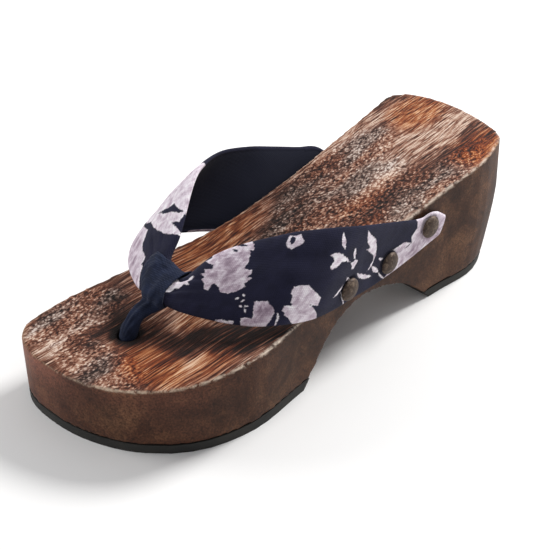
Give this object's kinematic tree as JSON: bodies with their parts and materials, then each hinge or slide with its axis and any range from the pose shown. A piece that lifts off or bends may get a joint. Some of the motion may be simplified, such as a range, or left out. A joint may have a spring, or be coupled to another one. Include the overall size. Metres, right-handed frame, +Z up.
{
  "type": "geta sandal",
  "caption": "Left-foot wooden geta with a raised heel, cut-away waist, black rubber outsoles and a padded fabric thong strap.",
  "frame": {"origin": "on the floor under the middle of the whole sandal's bounding box", "axes": "+Z up, toe toward -Y, heel toward +Y, lateral side of this left shoe toward +X"},
  "size_m": [0.0932, 0.2398, 0.0719],
  "materials": {
    "burnt_wood": "burnt and wire-brushed, satin",
    "outsole_rubber": "matt",
    "strap_fabric": "woven cotton, padded, navy with pale printed flowers",
    "tack_metal": "antique brown, dull and mottled",
    "thong_fabric": "plain woven cotton, blue navy"
  },
  "bodies": {
    "root": {"wooden_base": "burnt_wood", "front_outsole": "outsole_rubber", "heel_outsole": "outsole_rubber", "strap_arms": "strap_fabric", "toe_thong": "thong_fabric", "lateral_rear_tack": "tack_metal", "lateral_middle_tack": "tack_metal", "lateral_front_tack": "tack_metal", "medial_rear_tack": "tack_metal", "medial_middle_tack": "tack_metal", "medial_front_tack": "tack_metal"}
  },
  "joints": []
}
